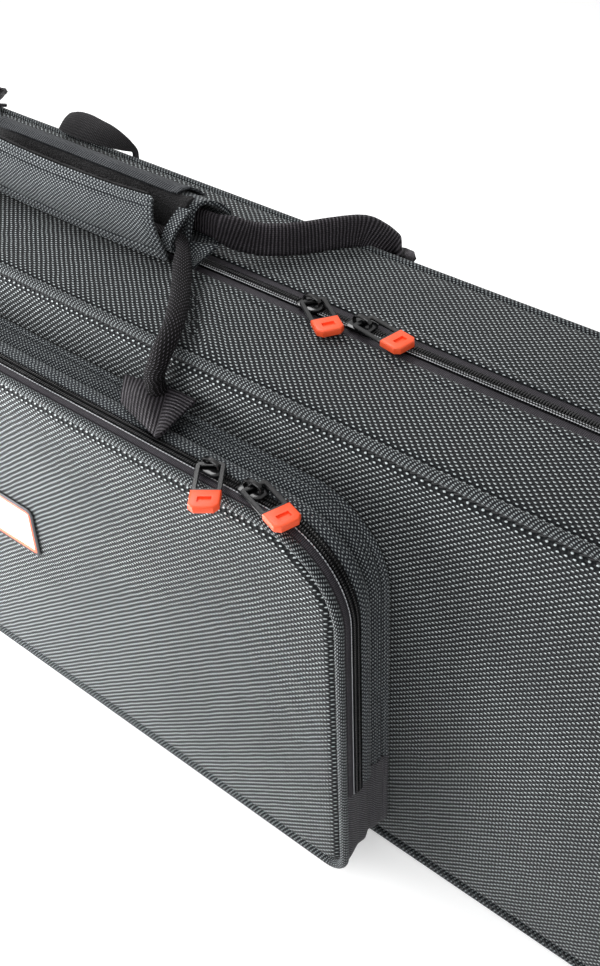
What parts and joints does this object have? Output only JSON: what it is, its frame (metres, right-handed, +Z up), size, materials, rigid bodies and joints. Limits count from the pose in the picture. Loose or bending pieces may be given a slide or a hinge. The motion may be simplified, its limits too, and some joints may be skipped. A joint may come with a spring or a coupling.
{
  "type": "violin case",
  "caption": "Oblong fabric-covered violin case with a zipped hinged lid, a zipped front pocket and two webbing handles held in a wrap-around grip.",
  "frame": {"origin": "on the floor, under the middle of the whole part's box, pulls and handles included", "axes": "+X along the case, +Z up with the case standing on its hinge side, -Y out through the lid and its pocket"},
  "size_m": [0.8258, 0.2023, 0.308],
  "materials": {
    "ballistic_nylon": "coarse grey ballistic weave",
    "zip_tape": "dark woven tape",
    "nylon_coil": "black moulded coil",
    "webbing": "ribbed dark webbing",
    "shell_board": "plain board",
    "plush_lining": "short plush over foam",
    "black_metal": "black lacquered zinc",
    "orange_rubber": "soft moulded",
    "black_rubber": "soft moulded",
    "white_field": "plain",
    "black_plastic": "moulded",
    "hook_tape": "fuzzy hook tape"
  },
  "bodies": {
    "base": {"base_outer_panel": "ballistic_nylon", "base_piping": "ballistic_nylon", "base_side_band": "ballistic_nylon", "base_shell": "shell_board", "base_zip_tape": "zip_tape", "base_zip_coil": "nylon_coil", "base_hinge_strip": "zip_tape", "base_lining": "plush_lining", "neck_cradle": "plush_lining", "rear_anchor_left": "webbing", "rear_anchor_right": "webbing", "rear_hang_loop": "webbing"},
    "lid": {"lid_outer_panel": "ballistic_nylon", "lid_piping": "ballistic_nylon", "lid_side_band": "ballistic_nylon", "lid_shell": "shell_board", "lid_zip_tape": "zip_tape", "lid_zip_coil": "nylon_coil", "lid_hinge_strip": "zip_tape", "lid_lining": "plush_lining", "lower_bow_sleeve": "webbing", "upper_bow_sleeve": "webbing", "pocket_back_gusset": "ballistic_nylon", "pocket_mid_gusset": "ballistic_nylon", "pocket_rear_coil": "nylon_coil", "pocket_lower_gusset": "ballistic_nylon", "front_anchor_left": "webbing", "front_anchor_right": "webbing"},
    "pocket_front": {"pocket_front_coil": "nylon_coil", "pocket_front_tape": "zip_tape", "pocket_piping": "ballistic_nylon", "pocket_panel": "ballistic_nylon", "label_badge": "black_rubber", "label_field": "white_field"},
    "front_handle": {"front_handle_webbing": "webbing"},
    "rear_handle": {"rear_handle_webbing": "webbing", "grip_sleeve": "ballistic_nylon"},
    "grip_flap": {"grip_flap": "ballistic_nylon", "grip_hook_tape": "hook_tape"},
    "neck_strap": {"neck_strap": "webbing"},
    "lower_clip": {"lower_bow_clip": "black_plastic"},
    "upper_clip": {"upper_bow_clip": "black_plastic"},
    "main_left_slider": {"main_left_slider": "black_metal"},
    "main_left_pull": {"main_left_pull_link": "black_metal", "main_left_pull_tip": "orange_rubber"},
    "main_right_slider": {"main_right_slider": "black_metal"},
    "main_right_pull": {"main_right_pull_link": "black_metal", "main_right_pull_tip": "orange_rubber"},
    "pocket_left_slider": {"pocket_left_slider": "black_metal"},
    "pocket_left_pull": {"pocket_left_pull_link": "black_metal", "pocket_left_pull_tip": "orange_rubber"},
    "pocket_right_slider": {"pocket_right_slider": "black_metal"},
    "pocket_right_pull": {"pocket_right_pull_link": "black_metal", "pocket_right_pull_tip": "orange_rubber"}
  },
  "joints": [
    {"name": "lid_hinge", "type": "hinge", "parent": "base", "child": "lid", "pos_m": [0, 0.0188, 0], "axis": [1, 0, 0], "range_deg": [0, 100]},
    {"name": "pocket_hinge", "type": "hinge", "parent": "lid", "child": "pocket_front", "pos_m": [0, -0.08155, 0.0145], "axis": [1, 0, 0], "range_deg": [0, 35]},
    {"name": "front_handle_hinge", "type": "hinge", "parent": "lid", "child": "front_handle", "pos_m": [0, -0.0559, 0.2507], "axis": [1, 0, 0], "range_deg": [0, 85]},
    {"name": "grip_flap_hinge", "type": "hinge", "parent": "front_handle", "child": "grip_flap", "pos_m": [0, 0.0045, 0.273], "axis": [1, 0, 0], "range_deg": [0, 80]},
    {"name": "rear_handle_hinge", "type": "hinge", "parent": "base", "child": "rear_handle", "pos_m": [0, 0.0931, 0.262], "axis": [-1, 0, 0], "range_deg": [0, 100]},
    {"name": "neck_strap_hinge", "type": "hinge", "parent": "base", "child": "neck_strap", "pos_m": [0.132, 0.0228, 0.102], "axis": [1, 0, 0], "range_deg": [0, 45]},
    {"name": "lower_clip_turn", "type": "hinge", "parent": "lid", "child": "lower_clip", "pos_m": [0.29, -0.0313, 0.09], "axis": [0, 1, 0], "range_deg": [0, 90]},
    {"name": "upper_clip_turn", "type": "hinge", "parent": "lid", "child": "upper_clip", "pos_m": [0.29, -0.0313, 0.18], "axis": [0, 1, 0], "range_deg": [0, 90]},
    {"name": "main_left_slide", "type": "slide", "parent": "base", "child": "main_left_slider", "axis": [1, 0, 0], "range_m": [-0.045, 0]},
    {"name": "main_left_swing", "type": "hinge", "parent": "main_left_slider", "child": "main_left_pull", "pos_m": [0.163, 0.0188, 0.2744], "axis": [-0.5446, -0.8387, 0], "range_deg": [0, 150]},
    {"name": "main_right_slide", "type": "slide", "parent": "base", "child": "main_right_slider", "axis": [1, 0, 0], "range_m": [0, 0.161]},
    {"name": "main_right_swing", "type": "hinge", "parent": "main_right_slider", "child": "main_right_pull", "pos_m": [0.194, 0.0188, 0.2744], "axis": [-0.1736, -0.9848, 0], "range_deg": [0, 150]},
    {"name": "pocket_left_slide", "type": "slide", "parent": "lid", "child": "pocket_left_slider", "axis": [1, 0, 0], "range_m": [-0.395, 0]},
    {"name": "pocket_left_swing", "type": "hinge", "parent": "pocket_left_slider", "child": "pocket_left_pull", "pos_m": [0.181, -0.07495, 0.2424], "axis": [-0.7986, -0.6018, 0], "range_deg": [0, 120]},
    {"name": "pocket_right_slide", "type": "slide", "parent": "lid", "child": "pocket_right_slider", "axis": [1, 0, 0], "range_m": [0, 0.012]},
    {"name": "pocket_right_swing", "type": "hinge", "parent": "pocket_right_slider", "child": "pocket_right_pull", "pos_m": [0.206, -0.07495, 0.2424], "axis": [-0.309, -0.9511, 0], "range_deg": [0, 120]}
  ]
}
